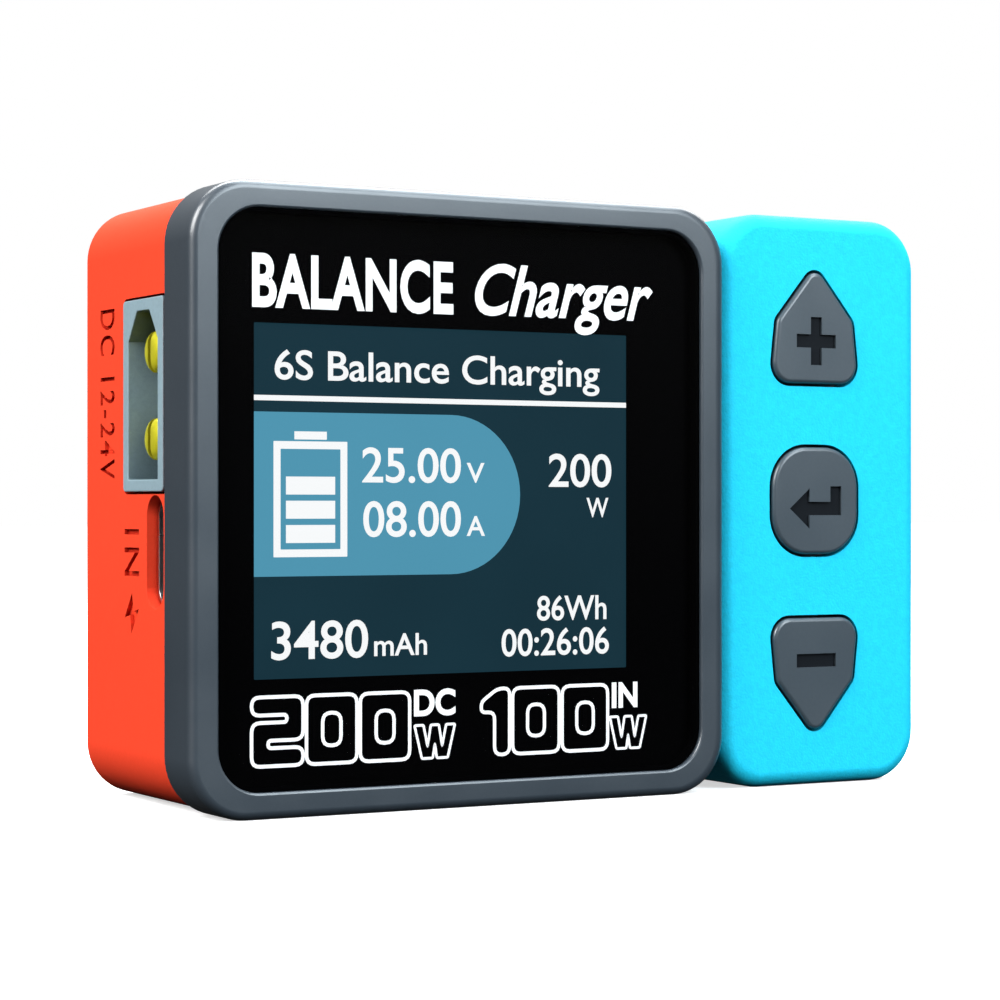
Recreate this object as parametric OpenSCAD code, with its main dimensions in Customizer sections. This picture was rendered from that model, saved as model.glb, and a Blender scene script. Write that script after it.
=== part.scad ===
// Compact balance battery charger that stands upright: a framed display module with a rear case,
// and a key module beside it. X runs to the right, Y to the back and Z up.
// Sizes below are measured from the left edge, the front plane and the underside.

/* [Overall] */
// Overall width, from the bezel's left edge to the key module's right face
total_w = 72.6; // [72.6:0.2:76]
// Overall depth, front of the bezel to the back of both cases
total_d = 25.2; // [25.2:0.2:28]
// Overall height of the bezel and of the key module
total_h = 51; // [51:0.2:53]

/* [Bezel and glass] */
// Width of the bezel
bezel_w = 50.6; // [50.6:0.1:50.8]
// Depth of the bezel
bezel_d = 5.4; // [5.4:0.1:5.5]
// Radius of the bezel's outer corners
bezel_r = 5; // [4.5:0.1:5.5]
// Rounding of the bezel's front edge
bezel_round = 0.6; // [0.3:0.1:1]
// Width of the frame beside the glass
bezel_side = 2.4; // [2.2:0.1:2.6]
// Width of the frame above and below the glass
bezel_band = 2.1; // [2:0.1:2.4]
// Depth of the glass below the front plane
glass_recess = 0.35; // [0.2:0.05:0.4]
// Thickness of the glass
glass_t = 1.1; // [0.9:0.05:1.1]

/* [Rear case] */
// Step from the bezel's left edge in to the rear case
case_step = 1.0; // [0.8:0.1:1.2]
// Height of the rear case
case_h = 50.6; // [50.4:0.1:50.8]
// Height of the rear case's underside above the bezel's
case_lift = 0.1; // [0.1:0.1:0.2]
// Wall thickness of the rear case
case_wall = 1.6; // [1.4:0.1:1.6]
// Radius of the rear case's corners
case_r = 4.6; // [4.2:0.1:4.8]
// Rounding of the rear case's back edge
case_round = 0.4; // [0.3:0.1:0.8]

/* [Key module] */
// Gap between the bezel and the key module
side_gap = 0.3; // [0.2:0.1:0.3]
// Set-back of the key module's front face
side_setback = 1.2; // [1.1:0.1:1.3]
// Wall thickness of the key module
side_wall = 1.8; // [1.7:0.1:1.8]
// Radius of the key module's corners
side_r = 4.6; // [4.4:0.1:5]
// Rounding of the key module's front edge
side_round = 1.4; // [0.8:0.1:1.6]

/* [Keys] */
// Distance of the keys' centre line from the bezel's left edge
key_x = 61.0; // [60.9:0.1:61.1]
// Distance of the upper and lower keys' symbols from the middle
key_pitch = 14.3; // [14.2:0.1:14.4]
// Travel of each key
key_travel = 0.3; // [0.2:0.05:0.3]
// How far the keys stand out of the module's face
key_proud = 0.3; // [0.2:0.1:0.4]
// Clearance around each key
key_gap = 0.25; // [0.2:0.05:0.3]

/* [Ports] */
// Height of the DC input's centre above the middle
dc_in_z = 8.65; // [8.4:0.05:8.8]
// Height of the USB-C port's centre above the middle
usb_z = -4.25; // [-4.6:0.05:-4.2]
// Height of the charge output's centre above the middle
output_z = 10; // [9.9:0.05:10]
// Height of the balance socket's centre above the middle
balance_z = -10.9; // [-10.9:0.05:-10.8]
// Number of pins in the balance socket
balance_pin_count = 7; // [5:1:7]

/* [Fan] */
// Side length of the square fan
fan_size = 30; // [29.6:0.2:30]
// Depth of the fan
fan_d = 7; // [6.9:0.05:7]
// Number of fan blades
fan_blades = 7; // [5:1:9]

/* [Hidden] */
$fn = 64;
eps = 0.1;
mid_z = total_h / 2;

// Glass and its seat in the bezel
glass_w = bezel_w - 2 * bezel_side;
glass_h = total_h - 2 * bezel_band;
glass_r = 3.6;
glass_back = glass_recess + glass_t;
adhesive_t = 0.15;
adhesive_inset = 0.4;
ledge_y = glass_back + adhesive_t;
ledge_w = 42.8;
ledge_h = 35.6;

// Display: 35.0 x 28.6 mm of picture, to the left of the middle
lcd_x = 24.0;
lcd_w = 38.8;
lcd_h = 32.6;
lcd_cell_t = 1.4;
lcd_light_t = 1.5;
lcd_light_y = ledge_y + lcd_cell_t;
lcd_frame_y = 2.0;
lcd_frame_back = lcd_light_y + lcd_light_t + 0.3;
lcd_frame_t = 0.25;
ribbon_t = 0.14;
ribbon_h = 18;
ribbon_y = 2.4;
ribbon_bend = 2.0;
ribbon_bend_x = 44.4;
ribbon_end_x = 41.4;
connector_x = [39.5, 43];
connector_y = 5.4;

// Rear case
case_x0 = case_step;
case_x1 = bezel_w + side_gap - 0.2;
case_w = case_x1 - case_x0;
case_cx = (case_x0 + case_x1) / 2;
case_mid_z = case_lift + case_h / 2;
case_inner_back = total_d - case_wall;
boss_r = 2.4;
screw_x = [5.2, 46.4];
screw_z = [5.2, total_h - 5.2];
vent_count = 9;
vent_pitch = 3.2;
vent_w = 1.5;
vent_l = 8.4;
vent_y = 12.8;
// Passage for the board between the cases
pass_z0 = 7;
pass_z1 = total_h - 7;
pass_front = 5.6;
pass_back = 22;
case_head_depth = 1.3;
small_head_depth = 0.9;

// Key module
side_x0 = bezel_w + side_gap;
side_w = total_w - side_x0;
side_cx = side_x0 + side_w / 2;
side_inner_front = side_setback + side_wall;
cover_t = 1.6;
cover_y = total_d - cover_t;
cover_inset = side_wall + 0.1;
side_boss_r = 2.2;
side_screws = [[side_x0 + 3.9, 5], [side_x0 + 3.9, total_h - 5], [total_w - 4.2, total_h - 4.7]];
hook_w = 1.9;
hook_h = 1.1;
hook_z = [pass_z0 - 2.1, pass_z1 + 1.0];
hook_y0 = 11;
hook_y1 = 15;
hook_play = 0.2;
side_bore_y = 16.5;
collar_depth = 7.2;
collar_wall = 0.6;

// Circuit board and the screws that hold it
board_y = 6.8;
board_t = 1.6;
board_back = board_y + board_t;
board_inset = 3;
bezel_posts = [[25.3, 4.9], [25.3, total_h - 4.9]];
side_posts = [[64.2, total_h - 4.4], [55.2, mid_z - 7.8]];
post_r = 1.3;
bezel_post_r = 1.6;
post_bore = 0.82;
post_bore_y = 3.8;
bezel_bore_y = 2.6;

// Keys and switches
key_front = side_setback - key_proud;
key_flange_y = side_inner_front + 0.1;
key_flange_t = 0.9;
key_back = key_flange_y + key_flange_t;
key_lip = 0.6;
enter_w = 9.3;
enter_h = 9.6;
enter_r = 3.6;
// Arc centres and radii of the upper key's corners, anticlockwise from the lower left, from its symbol
arrow_corners = [[-2.77, -2.02, 1.8], [2.77, -2.02, 1.8], [3.1, 1.37, 1.1], [0, 5.05, 1.1],
    [-3.1, 1.37, 1.1]];
symbol_depth = 0.25;
symbol_bar = 1.2;
symbol_w = 4.3;
switch_size = 6;
switch_y = 4.8;
plunger_r = 1.5;
switch_floor = board_y - 0.5;
plunger_back = switch_floor - key_travel - 0.3;
key_z = [mid_z + key_pitch, mid_z, mid_z - key_pitch];

// Connectors, sizes of the 60 A two-pole, USB-C and 2.5 mm balance families
xt_t = 8.1;
xt_l = 15.9;
xt_pitch = 7.2;
xt_depth = 16;
xt_pin_r = 1.75;
xt_mouth = 0.8;
xt_cavity_l = 13.9;
xt_cavity_depth = 10;
xt_cut_t = 1.9;
xt_cut_l = 2.4;
xt_pin_set_back = 0.6;
xt_slit_depth = 4;
xt_slit_w = 0.4;
// The DC inlet and the USB-C port sit in cut-outs of the board's left edge
dc_in_t = 8.6;
dc_in_y = board_y + 5.05;
dc_in_cavity_t = 6.4;
usb_sink = 0.42;
cut_play = 0.1;
usb_l = 8.94;
usb_t = 3.2;
usb_wall = 0.3;
usb_depth = 7.4;
tongue_w = 6.68;
tongue_t = 0.7;
tongue_x = 0.9;
plug_floor = 4.9;
usb_x = case_x0 + 0.9;
usb_y = board_back + usb_t / 2 - usb_sink;
usb_tab_w = 6;
usb_tab_l = 1.4;
usb_tab_t = 0.25;
output_y = board_back + xt_t / 2;
nose_depth = 9.5;
nose_t = 5.8;
nose_l = 13.7;
nose_cut_t = 1.8;
nose_cut_l = 2.3;
socket_depth = 12.5;
socket_set_back = 0.5;
output_x0 = total_w - xt_depth + 0.1;
socket_r = 1.8;
socket_outer_r = 2.25;
xh_pitch = 2.5;
xh_l = (balance_pin_count - 1) * xh_pitch + 4.9;
xh_t = 5.75;
xh_depth = 11.5;
xh_pin = 0.64;
xh_pin_y = board_back + 2.9;
xh_wall = 0.85;
xh_cavity_depth = 6.4;
xh_key_depth = 4.6;
xh_key_w = 1.6;
xh_key_z = 5.4;

// Fan, on the rear case's back wall
fan_x = case_cx;
fan_z = mid_z;
fan_y1 = case_inner_back;
fan_y0 = fan_y1 - fan_d;
fan_bore_r = 13.9;
fan_tip_r = 13.3;
fan_hub_r = 7.5;
fan_hole = 12;
fan_hub_cup = 0.6;
fan_arm_w = 1.4;
bearing_outer_r = 1.9;
stator_r = 5.7;
blade_camber_r = 6.5;
blade_t = 0.55;
shaft_r = 1.0;
bearing_r = 1.04;
grille_r = 13.7;
grille_t = 1.0;
grille_rings = [grille_r, 9.7, 5.7];
grille_ring_w = 0.9;

// Power parts behind the board
sink_x0 = 18.9;
sink_w = 20;
sink_z0 = 12;
sink_h = 27;
pad_y = board_back + 1.0;
sink_y = pad_y + 0.5;
sink_base = 1.7;
sink_fins = 8;
fin_t = 0.8;
mcu_x = 20;
mcu_z = 20;
mcu_size = 7;
mcu_t = 0.9;
inductor_x = 44.3;
inductor_z = [mid_z - 8.7, mid_z + 8.8];
inductor_size = 8.6;
inductor_h = 6.5;
shunt_x = 41;
shunt_z = [mid_z - 3.4, mid_z + 0.6];
resistor_x = 56.9;
resistor_z = 9;
resistor_pitch = 2.6;
buzzer_x = 33;
buzzer_z = total_h - 7.4;
buzzer_r = 3.8;
buzzer_h = 3.5;
plug_x = [39.1, 43.5];
plug_z = [8.6, 12.1];
plug_h = 4;
wire_x = [39.6, 40.5];
wire_z = 11.5;
wire_r = 0.35;
cap_r = 2.9;
cap_h = 7.5;
fet_x = [1.6, 13.4];
fet_pitch = 6.4;
cap_places = [[10.2, 10.4], [15.6, 15.2], [12.4, total_h - 5.9], [18.9, total_h - 5.9]];

// Screws
m2_r = 1.0;
m2_bore = 1.03;
m2_clear = 1.1;
head_r = 1.85;
sink_r = 2.0;
case_head_t = 1.1;
small_head_t = 0.8;
head_play = 0.02;
board_screw_r = 0.8;
board_head_r = 1.3;

// ---- Helpers -------------------------------------------------------------------------------

// Moves the design so that the underside's centre is the origin
module placed() {
    translate([-total_w / 2, -total_d / 2, 0]) children();
}

// Extrudes a drawing in X and Z from depth y0 to depth y1
module along_y(y0, y1) {
    translate([0, y1, 0]) rotate([90, 0, 0]) linear_extrude(y1 - y0) children();
}

// Extrudes a drawing in Y and Z from x0 to x1
module along_x(x0, x1) {
    translate([x0, 0, 0]) rotate([90, 0, 90]) linear_extrude(x1 - x0) children();
}

module rod_y(x, z, r, y0, y1) {
    translate([x, y1, z]) rotate([90, 0, 0]) cylinder(h = y1 - y0, r = r);
}

module rod_x(y, z, r, x0, x1) {
    translate([x0, y, z]) rotate([0, 90, 0]) cylinder(h = x1 - x0, r = r);
}

// Rounded rectangle about its centre, with true arcs
module rounded(w, h, r) {
    square([w - 2 * r, h], center = true);
    square([w, h - 2 * r], center = true);
    for (sx = [-1, 1], sy = [-1, 1])
        translate([sx * (w / 2 - r), sy * (h / 2 - r)]) circle(r);
}

// Convex outline from its corners in anticlockwise order, each the centre and radius of an arc;
// each arc runs between the normals of its two edges, which touch the arcs at their ends
module round_outline(corners, grow = 0, steps = 10) {
    count = len(corners);
    function corner(i) = corners[i % count];
    function centre(i) = [corner(i).x, corner(i).y];
    function edge(i) = centre(i + 1) - centre(i);
    function normal_angle(i) = atan2(edge(i).y, edge(i).x)
        - acos((corner(i).z - corner(i + 1).z) / norm(edge(i)));
    function turn(i) = (normal_angle(i + 1) - normal_angle(i) + 720) % 360;
    polygon([for (i = [0 : count - 1], k = [0 : steps])
        let (angle = normal_angle(i) + turn(i) * k / steps)
            centre(i + 1) + (corner(i + 1).z + grow) * [cos(angle), sin(angle)]]);
}

// Depth profile of a slab's edge: depth along the first axis, reach along the second
module edge_profile(reach, y0, y1, front, back) {
    translate([y0 + front, 0]) square([y1 - y0 - front - back, reach]);
    if (front > 0) {
        translate([y0, 0]) square([front, reach - front]);
        translate([y0 + front, reach - front]) circle(front);
    }
    if (back > 0) {
        translate([y1 - back, 0]) square([back, reach - back]);
        translate([y1 - back, reach - back]) circle(back);
    }
}

// Rounded slab about x = z = 0, from y0 to y1, with rounded front and back edges
module slab(w, h, r, y0, y1, front = 0, back = 0) {
    along_x(-(w / 2 - r), w / 2 - r)
        for (s = [0, 1])
            mirror([0, s]) edge_profile(h / 2, y0, y1, front, back);
    translate([0, 0, -(h / 2 - r)]) linear_extrude(h - 2 * r)
        for (s = [0, 1])
            mirror([s, 0]) mirror([1, -1]) edge_profile(w / 2, y0, y1, front, back);
    for (sx = [-1, 1], sz = [-1, 1])
        translate([sx * (w / 2 - r), 0, sz * (h / 2 - r)]) rotate([-90, 0, 0])
            rotate_extrude() mirror([1, -1]) edge_profile(r, y0, y1, front, back);
}

module slot_2d(length, width) {
    square([length - width, width], center = true);
    for (s = [-1, 1])
        translate([s * (length - width) / 2, 0]) circle(width / 2);
}

// Pan-head screw along Y, its head towards the back, with a cross recess
module screw(x, z, head_y, head_t, tip_y, r = m2_r, hr = head_r) {
    difference() {
        union() {
            rod_y(x, z, hr, head_y, head_y + head_t);
            rod_y(x, z, r, tip_y, head_y + eps);
        }
        translate([x, head_y + head_t, z])
            for (a = [0, 90])
                rotate([0, a, 0]) cube([hr * 1.2, head_t * 1.2, 0.45], center = true);
    }
}

module box(x0, x1, y0, y1, z0, z1) {
    translate([x0, y0, z0]) cube([x1 - x0, y1 - y0, z1 - z0]);
}

// ---- Front: bezel, glass and display ---------------------------------------------------------

module front_bezel() {
    color("#59636d") placed() difference() {
        union() {
            translate([bezel_w / 2, 0, mid_z])
                slab(bezel_w, total_h, bezel_r, 0, bezel_d, bezel_round);
            for (p = bezel_posts)
                rod_y(p.x, p.y, bezel_post_r, bezel_d - eps, board_y);
        }
        translate([bezel_w / 2, 0, mid_z]) {
            along_y(-1, ledge_y) rounded(glass_w, glass_h, glass_r);
            along_y(ledge_y - eps, bezel_d + eps) rounded(ledge_w, ledge_h, 1);
        }
        for (x = screw_x, z = screw_z)
            rod_y(x, z, m2_bore, bezel_bore_y, bezel_d + eps);
        for (p = bezel_posts)
            rod_y(p.x, p.y, post_bore, post_bore_y, board_y + eps);
    }
}

module front_glass() {
    color("#060608") placed() translate([bezel_w / 2, 0, mid_z])
        along_y(glass_recess, glass_back) rounded(glass_w - 0.2, glass_h - 0.2, glass_r - 0.1);
}

module glass_adhesive() {
    color("#202020") placed() translate([bezel_w / 2, 0, mid_z])
        along_y(glass_back, ledge_y) difference() {
            rounded(glass_w - 2 * adhesive_inset, glass_h - 2 * adhesive_inset, glass_r - adhesive_inset);
            square([ledge_w, ledge_h], center = true);
        }
}

module lcd_cell() {
    color("#16303c") placed() translate([lcd_x, 0, mid_z])
        along_y(ledge_y, lcd_light_y) square([lcd_w, lcd_h], center = true);
}

module lcd_backlight() {
    color("#e8eef0") placed() translate([lcd_x, 0, mid_z])
        along_y(lcd_light_y, lcd_light_y + lcd_light_t) square([lcd_w, lcd_h], center = true);
}

module lcd_frame() {
    color("#b8bcc0") placed() translate([lcd_x, 0, mid_z]) difference() {
        along_y(lcd_frame_y, lcd_frame_back) rounded(lcd_w + 0.8, lcd_h + 0.8, 0.5);
        along_y(lcd_frame_y - eps, lcd_frame_back - lcd_frame_t)
            square([lcd_w + 0.2, lcd_h + 0.2], center = true);
        // the ribbon's way out through the right side
        along_y(lcd_frame_y - eps, ribbon_y + 0.6)
            translate([lcd_w / 2, 0]) square([2, ribbon_h + 1], center = true);
    }
}

// Flexible printed cable: out of the cell's right end, round one bend and back to the board
module lcd_ribbon() {
    color("#c98a2b") placed() translate([0, 0, mid_z - ribbon_h / 2]) linear_extrude(ribbon_h) {
        back_y = ribbon_y + 2 * ribbon_bend;
        translate([lcd_x + lcd_w / 2, ribbon_y - ribbon_t / 2])
            square([ribbon_bend_x - lcd_x - lcd_w / 2, ribbon_t]);
        translate([ribbon_end_x, back_y - ribbon_t / 2]) square([ribbon_bend_x - ribbon_end_x, ribbon_t]);
        translate([ribbon_bend_x, ribbon_y + ribbon_bend]) intersection() {
            difference() {
                circle(ribbon_bend + ribbon_t / 2);
                circle(ribbon_bend - ribbon_t / 2);
            }
            translate([0, -2 * ribbon_bend]) square([2 * ribbon_bend, 4 * ribbon_bend]);
        }
    }
}

module ribbon_connector() {
    color("#e9e4d6") placed() translate([0, 0, mid_z]) difference() {
        box(connector_x[0], connector_x[1], connector_y, board_y, -ribbon_h / 2 - 1.2, ribbon_h / 2 + 1.2);
        box(ribbon_end_x - 0.4, connector_x[1] + eps, 6.2, 6.6, -ribbon_h / 2 - 0.1, ribbon_h / 2 + 0.1);
    }
}

// ---- Cases ------------------------------------------------------------------------------------

module case_vents() {
    for (i = [0 : vent_count - 1])
        translate([case_cx + (i - (vent_count - 1) / 2) * vent_pitch, vent_y, -eps]) rotate([0, 0, 90])
            linear_extrude(total_h + 2 * eps) slot_2d(vent_l, vent_w);
}

module rear_case() {
    color("#ff5536") placed() difference() {
        union() {
            difference() {
                translate([case_cx, 0, case_mid_z])
                    slab(case_w, case_h, case_r, bezel_d, total_d, 0, case_round);
                translate([case_cx, 0, case_mid_z]) along_y(bezel_d - eps, case_inner_back)
                    rounded(case_w - 2 * case_wall, case_h - 2 * case_wall, case_r - case_wall);
            }
            for (x = screw_x, z = screw_z)
                rod_y(x, z, boss_r, bezel_d, case_inner_back + eps);
        }
        // screws, fan and grille
        for (x = screw_x, z = screw_z) {
            rod_y(x, z, m2_clear, bezel_d - eps, total_d + eps);
            rod_y(x, z, sink_r, total_d - case_head_depth, total_d + eps);
        }
        rod_y(fan_x, fan_z, fan_bore_r, case_inner_back - eps, total_d + eps);
        for (sx = [-1, 1], sz = [-1, 1]) {
            rod_y(fan_x + sx * fan_hole, fan_z + sz * fan_hole, m2_clear, case_inner_back - eps,
                total_d + eps);
            rod_y(fan_x + sx * fan_hole, fan_z + sz * fan_hole, sink_r, total_d - small_head_depth,
                total_d + eps);
        }
        // ports in the left wall
        translate([0, dc_in_y, mid_z + dc_in_z])
            along_x(case_x0 - eps, case_x0 + case_wall + eps) rounded(dc_in_t + 0.4, xt_l + 0.4, 0.5);
        translate([0, usb_y, mid_z + usb_z]) rotate([90, 0, 90]) translate([0, 0, case_x0 - eps])
            linear_extrude(case_wall + 2 * eps) rotate(90) slot_2d(usb_l + 0.4, usb_t + 0.4);
        // passage for the board, and slots for the key module's hooks
        box(case_x1 - case_wall - eps, case_x1 + eps, bezel_d - eps, pass_back, pass_z0, pass_z1);
        for (z = hook_z)
            box(case_x1 - case_wall - eps, case_x1 + eps, hook_y0 - hook_play, hook_y1 + hook_play,
                z - hook_play, z + hook_h + hook_play);
        case_vents();
    }
}

// Outline of the upper key: a house with a rounded roof; the lower key is its mirror image
module arrow_outline(grow = 0) {
    round_outline(arrow_corners, grow);
}

module enter_outline(grow = 0) {
    rounded(enter_w + 2 * grow, enter_h + 2 * grow, enter_r + grow);
}

// Walls round the charge output's opening, inside the right wall and behind the board
module output_collar() {
    inner_t = xt_t + 0.4;
    inner_l = xt_l + 0.4;
    y1 = output_y + inner_t / 2;
    x1 = total_w - side_wall + eps;
    translate([0, 0, mid_z + output_z]) difference() {
        box(x1 - collar_depth, x1, board_back + 0.1, y1 + collar_wall,
            -inner_l / 2 - collar_wall, inner_l / 2 + collar_wall);
        box(x1 - collar_depth - eps, x1 + eps, board_back, y1, -inner_l / 2, inner_l / 2);
    }
}

module side_case() {
    color("#1fe0ff") placed() difference() {
        union() {
            difference() {
                translate([side_cx, 0, mid_z])
                    slab(side_w, total_h, side_r, side_setback, total_d, side_round, 0.5);
                translate([side_cx, 0, mid_z]) along_y(side_inner_front, total_d + eps)
                    rounded(side_w - 2 * side_wall, total_h - 2 * side_wall, side_r - side_wall);
            }
            for (p = side_screws)
                rod_y(p.x, p.y, side_boss_r, side_inner_front - eps, cover_y);
            for (p = side_posts)
                rod_y(p.x, p.y, post_r, side_inner_front - eps, board_y);
            for (z = hook_z)
                box(side_x0 - hook_w, side_x0 + side_wall / 2, hook_y0, hook_y1, z, z + hook_h);
            output_collar();
        }
        // key openings
        translate([key_x, 0, key_z[0]]) along_y(0, side_inner_front + eps) arrow_outline(key_gap);
        translate([key_x, 0, key_z[1]]) along_y(0, side_inner_front + eps) enter_outline(key_gap);
        translate([key_x, 0, key_z[2]]) along_y(0, side_inner_front + eps)
            mirror([0, 1]) arrow_outline(key_gap);
        // passage for the board, open towards the back
        box(side_x0 - eps, side_x0 + side_wall + eps, pass_front, total_d + eps, pass_z0, pass_z1);
        // charge output and balance socket in the right wall
        translate([0, output_y, mid_z + output_z])
            along_x(total_w - side_wall - eps, total_w + eps) rounded(xt_t + 0.4, xt_l + 0.4, 0.5);
        translate([0, board_back + xh_t / 2, mid_z + balance_z])
            along_x(total_w - side_wall - eps, total_w + eps) square([xh_t + 0.4, xh_l + 0.4], center = true);
        for (p = side_screws)
            rod_y(p.x, p.y, m2_bore, side_bore_y, cover_y + eps);
        for (p = side_posts)
            rod_y(p.x, p.y, post_bore, post_bore_y, board_y + eps);
    }
}

module side_back_cover() {
    color("#1bd0f0") placed() difference() {
        along_y(cover_y, total_d) {
            translate([side_cx, mid_z])
                rounded(side_w - 2 * cover_inset, total_h - 2 * cover_inset, side_r - cover_inset);
            translate([side_x0 + 0.05, pass_z0 + 0.1]) square([side_wall + 3, pass_z1 - pass_z0 - 0.2]);
        }
        for (p = side_screws) {
            rod_y(p.x, p.y, m2_clear, cover_y - eps, total_d + eps);
            rod_y(p.x, p.y, sink_r, total_d - small_head_depth, total_d + eps);
        }
    }
}

// ---- Circuit board ----------------------------------------------------------------------------

module main_board() {
    color("#123f2a") placed() along_y(board_y, board_back) difference() {
        union() {
            translate([board_inset, board_inset])
                square([case_x1 - case_wall - 0.5 - board_inset, total_h - 2 * board_inset]);
            translate([case_x1 - case_wall - 1.5, pass_z0 + 0.3])
                square([6, pass_z1 - pass_z0 - 0.6]);
            translate([side_x0 + side_wall + 0.4, board_inset])
                square([side_w - 2 * side_wall - 0.8, total_h - 2 * board_inset]);
        }
        for (x = screw_x, z = screw_z)
            translate([x, z]) circle(boss_r + 0.8);
        for (p = side_screws)
            translate(p) circle(side_boss_r + 0.55);
        for (p = concat(bezel_posts, side_posts))
            translate(p) circle(0.95);
        // cut-outs for the DC inlet and the USB-C port, which meet
        translate([0, mid_z + dc_in_z - xt_l / 2 - cut_play])
            square([xt_mouth + xt_depth + cut_play, xt_l + 2 * cut_play]);
        translate([0, mid_z + usb_z - usb_l / 2 - cut_play])
            square([usb_x + usb_depth + cut_play, dc_in_z - usb_z]);
    }
}

module microcontroller() {
    color("#1a1a1c") placed() box(mcu_x, mcu_x + mcu_size, board_y - mcu_t, board_y, mcu_z, mcu_z + mcu_size);
}

module mosfets() {
    color("#1c1c1e") placed()
        for (x = fet_x, row = [0 : 3])
            translate([sink_x0 + x, board_back, sink_z0 + 1.5 + row * fet_pitch])
                cube([5, pad_y - board_back, 4.6]);
}

module thermal_pad() {
    color("#9aa7b0") placed()
        box(sink_x0 + 0.5, sink_x0 + sink_w - 0.5, pad_y, sink_y, sink_z0 + 0.5, sink_z0 + sink_h - 0.5);
}

module heatsink() {
    color("#3a3d40") placed() {
        box(sink_x0, sink_x0 + sink_w, sink_y, sink_y + sink_base, sink_z0, sink_z0 + sink_h);
        for (i = [0 : sink_fins - 1])
            translate([sink_x0 + i * (sink_w - fin_t) / (sink_fins - 1), sink_y + sink_base - eps, sink_z0])
                cube([fin_t, fan_y0 - 0.4 - sink_y - sink_base + eps, sink_h]);
    }
}

module power_inductors() {
    color("#4a4c4e") placed()
        for (z = inductor_z)
            translate([inductor_x, 0, z]) along_y(board_back, board_back + inductor_h)
                rounded(inductor_size, inductor_size, 1.2);
}

module capacitors() {
    color("#c9ced2") placed()
        for (p = cap_places) {
            rod_y(p.x, p.y, cap_r, board_back + 0.9, board_back + cap_h);
            translate([p.x, 0, p.y]) along_y(board_back, board_back + 0.9 + eps)
                rounded(2 * cap_r - 0.2, 2 * cap_r - 0.2, 0.8);
        }
}

module current_shunts() {
    color("#b08d57") placed()
        for (z = shunt_z)
            translate([shunt_x, board_back, z]) cube([6.3, 0.7, 3.2]);
}

module balance_resistors() {
    color("#202225") placed()
        for (i = [0 : balance_pin_count - 2])
            translate([resistor_x, board_back, resistor_z + i * resistor_pitch]) cube([3.1, 0.6, 1.6]);
}

module buzzer() {
    color("#151515") placed() difference() {
        rod_y(buzzer_x, buzzer_z, buzzer_r, board_back, board_back + buzzer_h);
        rod_y(buzzer_x, buzzer_z, 0.8, board_back + buzzer_h - 1, board_back + buzzer_h + eps);
    }
}

// ---- Ports ------------------------------------------------------------------------------------

// Two-pole connector outline in Y and Z, with both upper corners cut off
module xt_outline(t, l, cut_t, cut_l) {
    polygon([[-t / 2, -l / 2], [t / 2, -l / 2], [t / 2, l / 2 - cut_l], [t / 2 - cut_t, l / 2],
        [-t / 2 + cut_t, l / 2], [-t / 2, l / 2 - cut_l]]);
}

module dc_input_housing() {
    color("#6d777c") placed() translate([0, dc_in_y, mid_z + dc_in_z]) difference() {
        along_x(xt_mouth, xt_mouth + xt_depth) rounded(dc_in_t, xt_l, 0.4);
        along_x(xt_mouth - eps, xt_mouth + xt_cavity_depth)
            xt_outline(dc_in_cavity_t, xt_cavity_l, xt_cut_t, xt_cut_l);
        for (s = [-1, 1])
            rod_x(0, s * xt_pitch / 2, 1.55, xt_mouth + xt_cavity_depth - eps, xt_mouth + xt_depth + eps);
    }
}

module dc_input_pins() {
    tip = xt_mouth + xt_pin_set_back;
    floor_x = xt_mouth + xt_cavity_depth;
    tail_x = xt_mouth + xt_depth;
    color("#f2d23a") placed() translate([0, dc_in_y, mid_z + dc_in_z])
        for (s = [-1, 1])
            translate([0, 0, s * xt_pitch / 2]) difference() {
                union() {
                    translate([tip, 0, 0]) rotate([0, 90, 0])
                        cylinder(h = 0.4, r1 = xt_pin_r - 0.4, r2 = xt_pin_r);
                    rod_x(0, 0, xt_pin_r, tip + 0.4, floor_x - 0.02);
                    rod_x(0, 0, 1.5, floor_x - 0.5, tail_x + 0.3);
                    box(tail_x + 0.1, tail_x + 1.2, board_back + 0.02 - dc_in_y, 1, -0.9, 0.9);
                }
                for (a = [0, 90])
                    rotate([a, 0, 0])
                        box(tip - eps, tip + xt_slit_depth, -3, 3, -xt_slit_w / 2, xt_slit_w / 2);
            }
}

module usb_c_shell() {
    color("#b9c0c4") placed() translate([usb_x, usb_y, mid_z + usb_z]) rotate([90, 0, 90]) {
        difference() {
            linear_extrude(usb_depth) rotate(90) slot_2d(usb_l, usb_t);
            translate([0, 0, -eps]) linear_extrude(usb_depth - usb_wall + eps)
                rotate(90) slot_2d(usb_l - 2 * usb_wall, usb_t - 2 * usb_wall);
        }
        // solder tab on the board's back
        translate([board_back + 0.02 - usb_y, -usb_tab_w / 2, usb_depth - usb_wall + 0.05])
            cube([usb_tab_t, usb_tab_w, usb_tab_l]);
    }
}

module usb_c_tongue() {
    color("#111214") placed() translate([usb_x, usb_y, mid_z + usb_z]) rotate([90, 0, 90]) {
        translate([0, 0, plug_floor]) linear_extrude(usb_depth - usb_wall - plug_floor - 0.05)
            rotate(90) slot_2d(usb_l - 2 * usb_wall - 0.04, usb_t - 2 * usb_wall - 0.04);
        translate([-tongue_t / 2, -tongue_w / 2, tongue_x])
            cube([tongue_t, tongue_w, plug_floor + 0.2 - tongue_x]);
    }
}

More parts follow.
